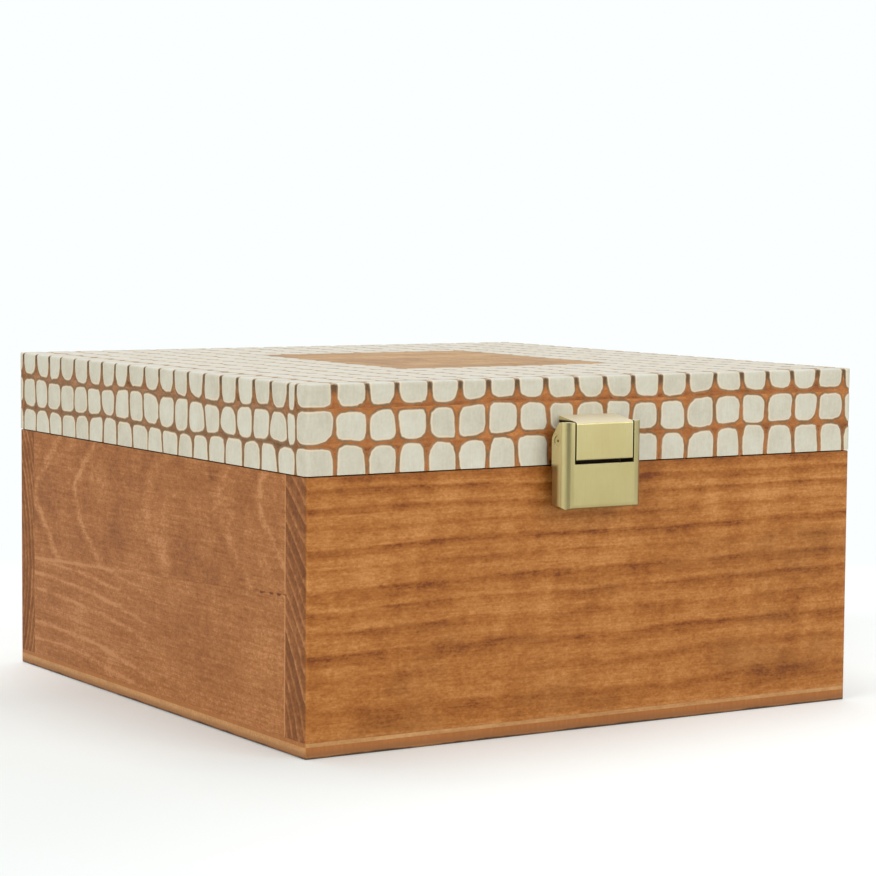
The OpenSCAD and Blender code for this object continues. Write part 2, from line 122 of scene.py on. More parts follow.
class Shader:
    """A material with a Principled surface, whose nodes short calls make. Places are in millimetres."""

    def __init__(self, name):
        self.material = bpy.data.materials.new(name)
        self.material.use_nodes = True
        self.tree = self.material.node_tree
        self.surface = self.tree.nodes["Principled BSDF"]
        place = self.node("ShaderNodeTexCoord")
        in_mm = self.node("ShaderNodeVectorMath", operation="SCALE")
        self.put(in_mm.inputs[0], place.outputs["Object"])
        in_mm.inputs["Scale"].default_value = 1 / MM
        self.point = in_mm.outputs[0]
        self.x, self.y, self.z = self.split(self.point)
        self.facing = dict(zip(AXES, self.split(place.outputs["Normal"])))

    def node(self, kind, **settings):
        made = self.tree.nodes.new(kind)
        for key, value in settings.items():
            setattr(made, key, value)
        return made

    def put(self, socket, value):
        """Links a value to a socket, or sets the socket's own number or colour."""
        if isinstance(value, Value):
            value = value.socket
        if isinstance(value, bpy.types.NodeSocket):
            self.tree.links.new(value, socket)
        else:
            socket.default_value = value

    def split(self, vector):
        made = self.node("ShaderNodeSeparateXYZ")
        self.put(made.inputs[0], vector)
        return [Value(self, out) for out in made.outputs]

    def math(self, operation, first, second=0.0):
        made = self.node("ShaderNodeMath", operation=operation)
        self.put(made.inputs[0], first)
        self.put(made.inputs[1], second)
        return Value(self, made.outputs[0])

    def scaled(self, sizes, seed):
        """The point in units of the given (x, y, z) sizes in millimetres, shifted by a seed."""
        made = self.node("ShaderNodeVectorMath", operation="MULTIPLY_ADD")
        self.put(made.inputs[0], self.point)
        made.inputs[1].default_value = [1 / size for size in sizes]
        made.inputs[2].default_value = [shift * seed for shift in SEED_SHIFT]
        return made.outputs[0]

    def noise(self, sizes, seed=0, detail=3.0, roughness=0.55):
        """Smooth noise from about -1 to 1, with features as long as the (x, y, z) sizes in millimetres."""
        made = self.node("ShaderNodeTexNoise")
        self.put(made.inputs["Vector"], self.scaled(sizes, seed))
        made.inputs["Scale"].default_value = 1.0
        made.inputs["Detail"].default_value = detail
        made.inputs["Roughness"].default_value = roughness
        return Value(self, made.outputs[0]) * 2 - 1

    def chance(self, number, seed=0):
        """A fixed random share from 0 to 1 for each whole number."""
        made = self.node("ShaderNodeTexWhiteNoise", noise_dimensions="1D")
        self.put(made.inputs["W"], number + seed)
        return Value(self, made.outputs["Value"])

    def attribute(self, name):
        made = self.node("ShaderNodeAttribute", attribute_name=name)
        return Value(self, made.outputs["Fac"])

    def faces(self, axis, low=0.5, high=0.9):
        """The share of a surface that faces along an axis, either way, between two steepnesses."""
        return self.facing[axis].size().step(low, high)

    def ramp(self, share, colours):
        """Colours spread evenly from share 0 to 1."""
        made = self.node("ShaderNodeValToRGB")
        stops = made.color_ramp.elements
        for i, colour in enumerate(colours):
            place = i / (len(colours) - 1)
            stop = stops[i] if i < 2 else stops.new(place)
            stop.position = place
            stop.color = colour
        self.put(made.inputs["Fac"], share)
        return made.outputs["Color"]

    def mix(self, share, first, second):
        made = self.node("ShaderNodeMix", data_type="RGBA")
        colours = [s for s in made.inputs if s.type == "RGBA"]
        self.put(made.inputs[0], share)
        self.put(colours[0], first)
        self.put(colours[1], second)
        return next(out for out in made.outputs if out.type == "RGBA")

    def bump(self, height, depth_mm):
        """Raises the surface by a height of about -1 to 1, times a depth."""
        made = self.node("ShaderNodeBump")
        made.inputs["Distance"].default_value = depth_mm * MM
        self.put(made.inputs["Height"], height)
        self.put(self.surface.inputs["Normal"], made.outputs["Normal"])

    def edge_distance(self, node):
        """Distance in millimetres from the nearest edge of a node that is shaped like a box."""
        low, high = box_mm(node)
        depths = []
        for value, lo, hi in zip((self.x, self.y, self.z), low, high):
            depths.append((hi - lo) / 2 - (value - (lo + hi) / 2).size())
        a, b, c = depths
        return a + b + c - a.least(b).least(c) - a.most(b).most(c)


def box_mm(node):
    """Lowest and highest corner of a node, in millimetres."""
    low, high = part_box(node)
    return low / MM, high / MM


def dress(node, material):
    for slot in NODES[node].material_slots:
        slot.material = material


# Places that the looks follow, in millimetres

TOP_LOW, TOP_HIGH = box_mm("lid_top_board")
LID_FLOOR = box_mm("lid_front_board")[0].z
FRONT_Y = box_mm("front_board")[0].y
LEVER_LOW, LEVER_HIGH = box_mm("latch_lever")
LATCH_X = (LEVER_LOW.x + LEVER_HIGH.x) / 2
# Heights of the front and back ends of the glue line in a side panel, and half the panel's length
GLUE_FRONT = box_mm("left_side_lower")[1].z
GLUE_BACK = box_mm("left_side_upper")[0].z
PANEL_HALF = box_mm("left_side_upper")[1].y


# Wood

# Colours from light to dark
PINE = shades((200, 138, 76), (183, 120, 59), (165, 101, 40), (145, 82, 24), (113, 54, 8))
PINE_SIDE = shades((188, 128, 78), (166, 105, 52), (147, 88, 37), (126, 71, 26), (96, 50, 16))
PINE_LID = shades((196, 129, 70), (180, 113, 57), (162, 98, 46), (140, 81, 37), (105, 59, 28))
LID_SIDE = shades((172, 122, 80), (156, 106, 65), (138, 91, 53), (116, 74, 41), (88, 54, 30))
PINE_TOP = shades((202, 162, 110), (186, 144, 92), (168, 126, 76), (146, 106, 61), (114, 81, 45))
PINE_INSIDE = shades((222, 178, 122), (208, 158, 100), (192, 138, 80), (170, 114, 62), (134, 84, 44))
END_GRAIN = shades((184, 130, 84), (158, 102, 58), (133, 81, 41), (112, 65, 31), (88, 50, 23))
PLY_LONG = shades((204, 156, 104), (190, 140, 88), (174, 123, 73), (152, 102, 56))
PLY_ENDS = shades((186, 124, 70), (170, 108, 56), (152, 94, 46), (127, 76, 36))
# Colours of uneven stain, of the lid's dark upper rim and of painted shadow behind the latch
OLIVE = rgb(132, 92, 48)
RIM_DARK = rgb(82, 62, 38)
LATCH_SHADOW_COLOUR = rgb(24, 15, 8)
# Colours of the base's darker lower part and of painted contact shadow along its lowest edge
PLY_LOW_TONE = rgb(142, 95, 58)
PLY_CONTACT_SHADOW = rgb(58, 42, 28)

WOOD_GLOSS = 0.22
# Depth of the grain
WOOD_RELIEF = 0.03
# Depths below the lid's top at which the dark rim starts and is full
RIM_START = 3.2
RIM_FULL = 0.8
# Half width and height of the painted shadow behind the latch
LATCH_SHADOW_HALF = 11.0
LATCH_SHADOW_H = 0.9
# Heights of the two faces of the base's middle ply, and half the blur between plies
MIDDLE_PLY = (0.8, 3.0)
PLY_BLUR = 0.1
# Stretches of y in which the glue line comes up towards the back, and in which its cracks end
GLUE_FADE = (-20.0, 40.0)
CRACK_END = (-61.0, -57.0)
# Light arches on the upper side boards: the (y, z) of each tip, its half width and its strength
LEFT_VEINS = [
    (74, 51, 2.4, 0.8),
    (48, 53, 2.2, 0.8),
    (4, 54, 5.0, 0.55),
    (-38, 59, 3.0, 0.5),
    (-60, 62, 2.4, 0.7),
]
RIGHT_VEINS = [
    (70, 58, 3.0, 0.5),
    (31, 55, 2.2, 0.8),
    (8, 52, 2.6, 0.7),
    (-44, 56, 4.5, 0.6),
]


def stretch(along, length, across):
    """Noise sizes that are long on the grain's axis."""
    sizes = [across] * 3
    sizes[AXES.index(along)] = length
    return sizes


class Grain:
    """The marks that all the wood here has, from broad clouds to fine fibres, along one axis."""

    def __init__(self, sh, along, seed):
        self.cloud = sh.noise(stretch(along, 40, 18), seed, detail=2)
        self.mottle = sh.noise(stretch(along, 15, 8), seed + 1, detail=6, roughness=0.78)
        self.fleck = sh.noise(stretch(along, 2.4, 1.1), seed + 2, detail=3, roughness=0.7)
        self.fibre = sh.noise(stretch(along, 14, 0.6), seed + 3, detail=4, roughness=0.7)
        self.figure = sh.noise(stretch(along, 6, 22), seed + 6, detail=1)
        self.dash = sh.noise(stretch(along, 7, 0.6), seed + 4, detail=2).step(0.5, 0.66)
        self.grit = sh.noise(stretch(along, 0.8, 0.5), seed + 5, detail=1)

    def tone(self, blotchy=1.0):
        """How dark the wood is. Blotchy is how much it has of the broader marks across the grain."""
        broad = self.cloud * 0.28 + (self.mottle * 0.5 + self.figure * 0.24) * blotchy
        return broad + self.fleck * 0.3 + self.fibre * 0.36 + self.dash * 0.3 + self.grit * 0.3


def coat(sh, node, colour, rough, relief):
    """Dresses a board in wood under a satin stain."""
    sh.put(sh.surface.inputs["Base Color"], colour)
    sh.put(sh.surface.inputs["Roughness"], rough)
    sh.surface.inputs["Specular IOR Level"].default_value = WOOD_GLOSS
    sh.bump(relief, WOOD_RELIEF)
    dress(node, sh.material)


def worn(sh, node):
    """The share of rubbed stain along a board's edges."""
    return 1 - sh.edge_distance(node).step(0.1, 1.1 + sh.noise((6, 6, 6), seed=15) * 0.6)


def top_rim(sh, grain, tone, colour):
    """The lid's colours on the upright faces of its top board, which are dark near the upper edge."""
    upright = 1 - sh.faces("z", 0.8, 0.97)
    shade = (sh.z + grain.mottle * 1.5).step(TOP_HIGH.z - RIM_START, TOP_HIGH.z - RIM_FULL)
    rim = sh.mix(sh.faces("x"), sh.ramp(tone, PINE_LID), sh.ramp(tone, LID_SIDE))
    return sh.mix(upright, colour, sh.mix(shade * 0.9, rim, RIM_DARK))


def painted_latch_shadow(sh, grain, tone, colour):
    """Painted shadow at the lower edge of the lid's front face behind the latch, where the lever shades it.
    """
    front = 1 - sh.facing["y"].step(-0.9, -0.6)
    behind = 1 - (sh.x - LATCH_X).size().step(LATCH_SHADOW_HALF, LATCH_SHADOW_HALF + 1)
    low = 1 - (sh.z - LID_FLOOR + grain.fleck * 0.2).step(LATCH_SHADOW_H, LATCH_SHADOW_H + 0.6)
    return sh.mix(front * behind * low * 0.9, colour, LATCH_SHADOW_COLOUR)


def pine(node, along, pith, ring_width, tones, streak=0.5, seed=0, ends=END_GRAIN, finish=None):
    """A pine board whose growth rings lie about a pith line along x or y, at a (cross axis, height) place.
    Each ring darkens outwards by its own amount, and pales again at its edge. Finish turns the shader, its
    grain, its tone and its colour into another colour."""
    sh = Shader(f"wood_{node}")
    grain = Grain(sh, along, seed + 10)
    across = sh.y if along == "x" else sh.x
    distance = ((across - pith[0]) ** 2 + (sh.z - pith[1]) ** 2).root()
    sway = sh.noise(stretch(along, 75, 26), seed + 1, detail=2) * 0.7
    ripple = sh.noise(stretch(along, 18, 6), seed + 2, detail=3) * 0.12
    count = distance / ring_width + sway + ripple
    ring, number = count.fract(), count.floor()
    late_share = sh.chance(number) * 0.45 + 0.5
    late = ((ring - 1) / late_share + 1).most(0.0) ** 0.8 * (1 - ring.step(0.78, 1.0))
    patch = sh.noise(stretch(along, 26, 7), seed + 3, detail=3)
    late = late * (sh.chance(number, seed=31) * 0.75 + patch * 1.1 + 0.5).most(0.0)
    wear = worn(sh, node)
    tone = late * streak + grain.tone() - wear * 0.1 + 0.37
    long_grain = sh.mix(grain.cloud.step(0.0, 0.6) * 0.3, sh.ramp(tone, tones), OLIVE)
    early = 1 - ring.step(0.08, 0.5)
    end_marks = grain.mottle * 0.5 + grain.fleck * 0.45
    end_tone = end_marks + sh.chance(number, seed=5) * 0.2 - early * 0.3 + 0.46
    end = sh.faces(along, 0.55, 0.85)
    colour = sh.mix(end, long_grain, sh.ramp(end_tone, ends))
    if finish is not None:
        colour = finish(sh, grain, tone, colour)
    rough = end * 0.2 + grain.fibre * 0.1 - wear * 0.06 + 0.52
    relief = grain.fibre * 0.5 + late * 0.4 - grain.dash * 0.8 + grain.fleck * 0.3
    coat(sh, node, colour, rough, relief)


def glue_distance(sh):
    """Distance in millimetres from the glue line between a side's two boards."""
    glue = (sh.y + PANEL_HALF) * ((GLUE_BACK - GLUE_FRONT) / (2 * PANEL_HALF)) + GLUE_FRONT
    return (sh.z - glue).size()


def seam_share(sh):
    """The thin light line of glue between a side's two boards, which fades to the front, and the upright
    one at the panel's front end."""
    level = (1 - glue_distance(sh).step(0.15, 0.7)) * sh.y.step(*GLUE_FADE)
    upright = 1 - (sh.y + PANEL_HALF).step(0.2, 0.7)
    return level * 0.6 + upright * 0.6


def cracks(sh):
    """Short dark gaps in the glue line near the front."""
    broken = sh.noise((2, 2.2, 2), seed=16, detail=1).step(-0.1, 0.1)
    return (1 - glue_distance(sh).step(0.1, 0.5)) * (1 - sh.y.step(*CRACK_END)) * broken


def arched_veins(places, slope=1.1, blunt=4.0):
    """Arches open to the front, at a list of places."""
    def veins(sh):
        ripple = sh.noise((20, 11, 8), seed=4, detail=4) * 3.2 + sh.noise((5, 5, 4), seed=6, detail=2) * 1.6
        total = 0.0
        for y, z, half, strength in places:
            rise = (sh.z - z) * slope
            behind = sh.y * -1 - (rise ** 2 + blunt ** 2).root() + ripple + (y + blunt)
            edge = 1 - behind.size().step(half * 0.2, half * 1.5)
            shade = behind.step(-9.0, -1.0) * (1 - behind.step(-1.0, 0.6))
            total = total + (edge - shade * 0.4) * strength
        return total
    return veins


def falling_veins(pitch, start_y, drop):
    """Nearly level lines at the back of a side board that fall towards the front and fade there."""
    def veins(sh):
        run = (start_y - sh.y).most(0.0)
        sway = sh.noise((40, 45, 12), seed=5, detail=3) * 1.6
        count = (sh.z + run * run * drop + sway) / pitch
        line = (count.fract() - 0.5).size().step(0.26, 0.5)
        return line * (sh.chance((count + 0.5).floor()) * 0.8 + 0.3) * sh.y.step(-30.0, 40.0)
    return veins


def side_wood(node, veins, seed, depth, blotchy):
    """A brown, mottled side board. Veins turns the shader into the share of its light veins, and depth is
    how dark it is on the whole."""
    sh = Shader(f"wood_{node}")
    grain = Grain(sh, "y", seed)
    broken = sh.noise((9, 9, 9), seed + 5, detail=3).step(-0.25, 0.45)
    light = veins(sh) * (broken * 0.6 + 0.4) + seam_share(sh)
    wear = worn(sh, node)
    tone = grain.tone(blotchy) * 1.1 - light * 0.55 + cracks(sh) * 0.7 - wear * 0.05 + depth
    rough = grain.fibre * 0.1 - light * 0.05 + 0.54
    relief = grain.fibre * 0.5 + grain.fleck * 0.4 - grain.dash * 0.6
    coat(sh, node, sh.ramp(tone, PINE_SIDE), rough, relief)


def plywood(node):
    """Three plies: the outer two have their grain along x, and the middle one along y."""
    sh = Shader(f"wood_{node}")
    grain = Grain(sh, "x", 60)
    above_lower, above_middle = [sh.z.step(face - PLY_BLUR, face + PLY_BLUR) for face in MIDDLE_PLY]
    middle = above_lower * (1 - above_middle)
    sideways = sh.faces("x", 0.55, 0.85)
    along = middle * sideways + (1 - middle) * (1 - sideways)
    crosswise = sh.noise((0.8, 0.8, 5), 66, detail=3)
    long_tone = grain.tone() + 0.3
    end_tone = grain.mottle * 0.3 + crosswise * 0.3 + grain.cloud * 0.2 + 0.35
    colour = sh.mix(along, sh.ramp(end_tone, PLY_ENDS), sh.ramp(long_tone, PLY_LONG))
    # Darker towards the bottom
    lower_dark = 1 - (sh.z + grain.mottle).step(1.0, 2.4)
    colour = sh.mix(lower_dark * 0.7, colour, PLY_LOW_TONE)
    # Painted contact shadow along the lowest edge, where the base meets the floor
    contact_shadow = 1 - (sh.z + sh.noise((9, 9, 9), 67, detail=4) * 0.9).step(0.15, 0.8)
    colour = sh.mix(contact_shadow * 0.85, colour, PLY_CONTACT_SHADOW)
    coat(sh, node, colour, grain.fibre * 0.1 + 0.58, grain.fibre * 0.5 + crosswise * 0.3)


pine("front_board", "x", pith=(7, -25), ring_width=3.0, tones=PINE)
pine("back_board", "x", pith=(150, 30), ring_width=2.2, tones=PINE, seed=20)
for side, places in (("left", LEFT_VEINS), ("right", RIGHT_VEINS)):
    falling = falling_veins(pitch=4.6, start_y=75, drop=0.0011)
    side_wood(f"{side}_side_upper", arched_veins(places), seed=30, depth=0.39, blotchy=0.8)
    side_wood(f"{side}_side_lower", falling, seed=40, depth=0.33, blotchy=0.4)
    pine(f"lid_{side}_board", "y", pith=(0, 20), ring_width=3.2, tones=LID_SIDE, streak=0.3, seed=50)
plywood("base_board")
pine("lid_top_board", "x", pith=(20, 40), ring_width=2.4, tones=PINE_TOP, streak=0.4, seed=70,
     finish=top_rim)
for node, finish in (("lid_front_board", painted_latch_shadow), ("lid_back_board", None)):
    pine(node, "x", pith=(0, 20), ring_width=3.2, tones=PINE_LID, streak=0.3, seed=80, ends=LID_SIDE,
         finish=finish)
pine("dividers_lengthwise", "x", pith=(25, -20), ring_width=2.4, tones=PINE_INSIDE, streak=0.35, seed=90)
pine("dividers_crosswise", "y", pith=(-25, -20), ring_width=2.4, tones=PINE_INSIDE, streak=0.35, seed=95)


# Brass

# Light and dark colours
LATCH_TONES = shades((184, 173, 127), (161, 147, 97))
TAB_TONES = shades((187, 176, 130), (165, 151, 101))
# The keeper's tones are darkened as painted shade
KEEPER_SHADED_TONES = shades((92, 80, 46), (66, 56, 32))
HINGE_TONES = shades((206, 190, 126), (176, 156, 92))
FIXING_TONES = shades((196, 178, 116), (160, 140, 80))
SPECK = rgb(96, 84, 46)
# Dust with a painted sheen, on faces that face up
DUST_AND_SHEEN = rgb(220, 210, 184)
# Pale colour of dull metal, a painted reflection
DULL_REFLECTION_BRASS = rgb(190, 174, 120)
# Colour of painted shade in recesses
PAINTED_SHADE_BRASS = rgb(56, 45, 26)

LATCH_ROUGH = 0.3
KEEPER_ROUGH = 0.36
HINGE_ROUGH = 0.34
# Depth of the brush marks
BRASS_RELIEF = 0.012
# Gap on each side of the bracket in the lever's notch, and half the width of the notch
TAB_GAP = 0.45
NOTCH_HALF = box_mm("latch_bracket")[1].x - LATCH_X + TAB_GAP
# Places in front of the wall between which the lower parts of the lever's cheeks turn from dull and pale,
# which is a painted reflection, to bright
CHEEK_FADE = (-6.2, -4.2)


def brass(node, tones, rough, dull_reflection=None, painted_shade=None):
    """Satin metal with fine upright brush marks, small dark specks, edges rubbed bright, and dust with a
    painted sheen of the light from above on its upper faces. The last two functions turn the shader into
    the share of dull metal whose pale colour is a painted reflection, and of dark colour, which in the
    lever and bracket is painted shade in their recesses."""
    sh = Shader(f"brass_{node}")
    cloud = sh.noise((7, 7, 9), seed=1, detail=3)
    brush = sh.noise((0.25, 0.25, 6), seed=2, detail=3)
    specks = sh.noise((0.5, 0.5, 0.6), seed=3, detail=1).step(0.46, 0.54)
    wear = 1 - sh.edge_distance(node).step(0.05, 0.5)
    tone = cloud * 0.4 + brush * 0.2 + 0.5 - wear * 0.3
    colour = sh.mix(specks * 0.35, sh.ramp(tone, tones), SPECK)
    # Dust, and a painted sheen of the light from above, on faces that face up
    dust_and_sheen = sh.facing["z"].step(0.2, 0.8)
    colour = sh.mix(dust_and_sheen * 0.8, colour, DUST_AND_SHEEN)
    if dull_reflection is not None:
        matte_reflection = dull_reflection(sh)
        colour = sh.mix(matte_reflection, colour, DULL_REFLECTION_BRASS)
        dust_and_sheen = dust_and_sheen.most(matte_reflection)
    if painted_shade is not None:
        colour = sh.mix(painted_shade(sh), colour, PAINTED_SHADE_BRASS)
    sh.put(sh.surface.inputs["Base Color"], colour)
    sh.put(sh.surface.inputs["Metallic"], 1 - dust_and_sheen * 0.7)
    sh.put(sh.surface.inputs["Roughness"], cloud * 0.05 + brush * 0.05 + specks * 0.1 + dust_and_sheen * 0.35 + rough)
    sh.bump(brush * 0.6 + cloud * 0.3 - specks * 0.6, BRASS_RELIEF)
    dress(node, sh.material)


def lever_dull_reflection(sh):
    """Dull metal with a pale painted reflection on the flat outer sides of the lever's cheeks, and less of
    it on their lower parts near the wall.
    """
    cheek = sh.faces("x", 0.9, 0.98)
    upper = sh.z.step(LID_FLOOR - 0.2, LID_FLOOR + 0.8)
    front = 1 - (sh.y - FRONT_Y).step(*CHEEK_FADE)
    return cheek * (upper.most(front) * 0.85 + 0.15)


def lever_painted_shade(sh):
    """Painted shade on the inside of the lever, behind its face and between its cheeks, and on the sides of
    its notch.
    """
    between_cheeks = 1 - (sh.x - LATCH_X).size().step(NOTCH_HALF + 0.05, NOTCH_HALF + 0.2)
    depth = sh.y - LEVER_LOW.y
    notch_side = sh.faces("x") * depth.step(0.05, 0.35)
    above_lip = (sh.z - LEVER_LOW.z).step(0.3, 0.8)
    return between_cheeks * above_lip * notch_side.most(depth.step(0.2, 0.6) * 0.8)


def rivet_dot(sh):
    """The small dark middle of a rivet's head."""
    low, high = box_mm("latch_pivot_rivets")
    axis = (low + high) / 2
    return 1 - ((sh.y - axis.y) ** 2 + (sh.z - axis.z) ** 2).root().step(0.25, 0.45)


def above_lever(sh):
    """The part of the bracket that stands above the lever, which is its roof."""
    return sh.z.step(LEVER_HIGH.z + 0.1, LEVER_HIGH.z + 0.5)


def bracket_dull_reflection(sh):
    """Dull metal with a pale painted reflection on the ends of the bracket's roof."""
    return sh.faces("x") * above_lever(sh)


def bracket_painted_shade(sh):
    """Painted shade on the bracket's sides in the lever's notch."""
    return sh.faces("x") * (1 - above_lever(sh))


brass("latch_bracket", TAB_TONES, LATCH_ROUGH, bracket_dull_reflection, bracket_painted_shade)
brass("latch_lever", LATCH_TONES, LATCH_ROUGH, lever_dull_reflection, lever_painted_shade)
brass("latch_keeper", KEEPER_SHADED_TONES, KEEPER_ROUGH)
brass("latch_pivot_rivets", LATCH_TONES, LATCH_ROUGH, lever_dull_reflection, rivet_dot)
for node in NODES:
    if node.endswith("screws"):
        brass(node, FIXING_TONES, HINGE_ROUGH)
    elif node.startswith("hinge"):
        brass(node, HINGE_TONES, HINGE_ROUGH)


# Eased edges of the boards and of the brass

BOARD_EASE = 0.08
BRASS_EASE = 0.15
# Points that are closer than this, in metres, are one point
WELD_DISTANCE = 1e-6
# Faces that meet at less than the first angle are one face, and an edge of more than the second is eased
FLAT_ANGLE = math.radians(0.4)
EASED_ANGLE = math.radians(40)


def ease(node, width_mm):
    """Rounds the sharp edges of a node a little, with modifiers alone."""
    stack = NODES[node].modifiers
    weld = stack.new("weld", "WELD")
    weld.merge_threshold = WELD_DISTANCE
    flat = stack.new("flat_faces", "DECIMATE")
    flat.decimate_type = "DISSOLVE"
    flat.angle_limit = FLAT_ANGLE
    bevel = stack.new("eased_edges", "BEVEL")
    bevel.width = width_mm * MM
    bevel.segments = 2
    bevel.limit_method = "ANGLE"
    bevel.angle_limit = EASED_ANGLE
    stack.new("even_shading", "WEIGHTED_NORMAL")


for node in NODES:
    if "board" in node or "side_" in node or "dividers" in node:
        ease(node, BOARD_EASE)
for node in ("latch_bracket", "latch_lever"):
    ease(node, BRASS_EASE)


# Painted cells of the lid

# Half the lid's width and depth, and its height
HALF_W = (TOP_HIGH.x - TOP_LOW.x) / 2
HALF_D = (TOP_HIGH.y - TOP_LOW.y) / 2
LID_H = TOP_HIGH.z - LID_FLOOR
# Roundings of the lid's top edges and upright edges, and into how many pieces the paint bends there
EDGE_R = 0.7
EDGE_CUTS = 6
CORNER_R = 1.2
CORNER_CUTS = 4
# A cut takes the points that are closer to it than this
CUT_SNAP = 1e-5

# Thickness of the paint, and how far in from a cell's edge its rim and its soft shoulder reach
PAINT_T = 0.15
PAINT_RIM = 0.25
PAINT_CROWN = 0.8
# Height of the paint's outer edge above the wood
PAINT_FOOT = 0.03
# Width of the stain round a cell, and how far its outer edge lies below the wood
STAIN_LINE = 0.7
STAIN_SINK = 0.006
# Loops of points from a cell's underside to its middle: how far in from the cell's edge each lies, its
# height, and its likeness to the rim, from 1 for stain to 0 for full paint
CELL_LOOPS = [
    (-STAIN_LINE, -STAIN_SINK, 1.0),
    (0.0, PAINT_FOOT, 0.8),
    (PAINT_RIM, PAINT_T * 0.8, 0.45),
    (PAINT_CROWN, PAINT_T, 0.0),
]

# Points of a cell's outline
OUTLINE_POINTS = 44
# How far a cell fills the room between its gaps, and the range of its corners' powers, from round to square
CELL_FILL = 0.97
CORNER_POWERS = (2.5, 5.0)
# Counts of the broad waves and of the small ripples round an outline, with their largest sizes as shares of
# its half width. A broad wave's size is also divided by its count.
BROAD_WAVES = (2, 3, 4, 5)
BROAD_SIZE = 0.1
BRUSH_RIPPLES = (7, 9, 11, 13)
RIPPLE_SIZE = 0.011
# Faces of the paint that meet at more than this angle are shaded apart
SHARP_EDGE = math.radians(50)

# Lattice of the cells, with the same number of lines each way
COLUMN_PITCH = 8.87
ROW_PITCH = 9.0
FIRST_COLUMN = -77.2
FIRST_ROW = -80.0
LINES = 19
# How far a lattice point strays on the sides and on the top
SIDE_SLACK = 0.7
TOP_SLACK = 0.5
# Widths of the gaps between cells at the front and back, at the sides and on the top
END_GAP = 0.85
SIDE_GAP = 0.55
TOP_GAP = 0.45
# Extra width of the gaps in the uppermost row of each side
UPPER_GAP = 0.4
# Rows on each side, and the heights of the gaps between them above the lid's lower edge
ROWS = 3
END_HEIGHTS = (7.8, 16.2)
SIDE_HEIGHTS = (6.8, 15.2)
CORNER_HEIGHTS = (7.3, 16.2)
# Waves of those gaps, as a height and the length of a radian, and how far from a side's ends they die away
GAP_WAVES = [(0.5, 13), (0.3, 5.3)]
WAVE_FADE = 25
# The lid's lower edge cuts off the lowest row's cells, which would reach this far below it
LID_EDGE = 0.02
CUT_OFF = 3.0
# Width of the narrow cell at the near end of the left side
NARROW_CELL = 4.2
# How far the cells beside the latch reach behind it
LATCH_TUCK = 1
# Corners of the bare rectangle on the top
BARE_LOW = Vector((-28, -36))
BARE_HIGH = Vector((40, 43))

PAINT_TONES = shades((214, 211, 195), (203, 198, 179), (190, 182, 161))
# Paint on faces that face up, made lighter and whiter as painted light from above
PAINT_TOP_LIT = rgb(220, 219, 214)
PAINT_CREAM = rgb(226, 206, 177)
# Colours of the stain beside the paint, where it fades out at the front and at the sides, near the lid's
# upper edge and on its top
STAIN_EDGE = rgb(112, 83, 50)
STAIN_FRONT = rgb(170, 108, 58)
STAIN_SIDE = rgb(132, 98, 64)
STAIN_UPPER = rgb(78, 62, 40)
STAIN_TOP = rgb(156, 142, 124)
# Depths below the lid's top at which the stain starts to darken and is darkest
STAIN_START = 3.4
STAIN_FULL = 1.4
PAINT_GLOSS = 0.25
# Depth of the brush marks in the paint
PAINT_RELIEF = 0.03

rng = random.Random(11)


def paint_material():
    """Matte off-white paint with brush marks, thin and creamy at its rims, and lighter on faces that face
    up as painted light from above. Round it the wood has an uneven dark stain that fades out."""
    sh = Shader("cell_paint")
    rim = sh.attribute("rim") + sh.noise((1.2, 1.2, 1.2), seed=1, detail=3) * 0.12
    cell = sh.attribute("cell")
    cloud = sh.noise((5, 5, 5), seed=2, detail=3)
    brush = sh.noise((0.5, 0.5, 4), seed=3, detail=3)
    grit = sh.noise((0.9, 0.9, 0.9), seed=5, detail=2)
    tone = cloud * 0.5 + brush * 0.25 + grit * 0.3 + cell * 0.3 + 0.32
    upward = sh.facing["z"].step(0.5, 0.9)
    body = sh.mix(upward * 0.5, sh.ramp(tone, PAINT_TONES), PAINT_TOP_LIT)
    cream = sh.mix(rim.step(0.05, 0.4) * 0.85, body, PAINT_CREAM)
    faded = (rim + sh.noise((3, 3, 3), seed=4, detail=2) * 0.2).step(0.78, 1.02)
    stain = sh.mix(faded, STAIN_EDGE, sh.mix(sh.faces("x"), STAIN_FRONT, STAIN_SIDE))
    near_top = sh.z.step(TOP_HIGH.z - STAIN_START, TOP_HIGH.z - STAIN_FULL)
    stain = sh.mix(upward, sh.mix(near_top * 0.85, stain, STAIN_UPPER), STAIN_TOP)
    colour = sh.mix(rim.step(0.46, 0.95), cream, stain)
    sh.put(sh.surface.inputs["Base Color"], colour)
    sh.put(sh.surface.inputs["Roughness"], cloud * 0.06 + 0.68)
    sh.surface.inputs["Specular IOR Level"].default_value = PAINT_GLOSS
    sh.bump(brush * 0.5 + cloud * 0.4, PAINT_RELIEF)
    return sh.material


paint = paint_material()


def between(low, high, share):
    return low + (high - low) * share


def moved(lines, slack):
    """Lines moved a little, apart from the first and the last."""
    return lines[:1] + [line + rng.uniform(-slack, slack) for line in lines[1:-1]] + lines[-1:]


def spread(marks, pitch):
    """Lattice lines at about a pitch that pass through all the marks."""
    lines = marks[:1]
    for low, high in zip(marks, marks[1:]):
        count = max(1, round((high - low) / pitch))
        lines += [between(low, high, (i + 1) / count) for i in range(count)]
    return lines


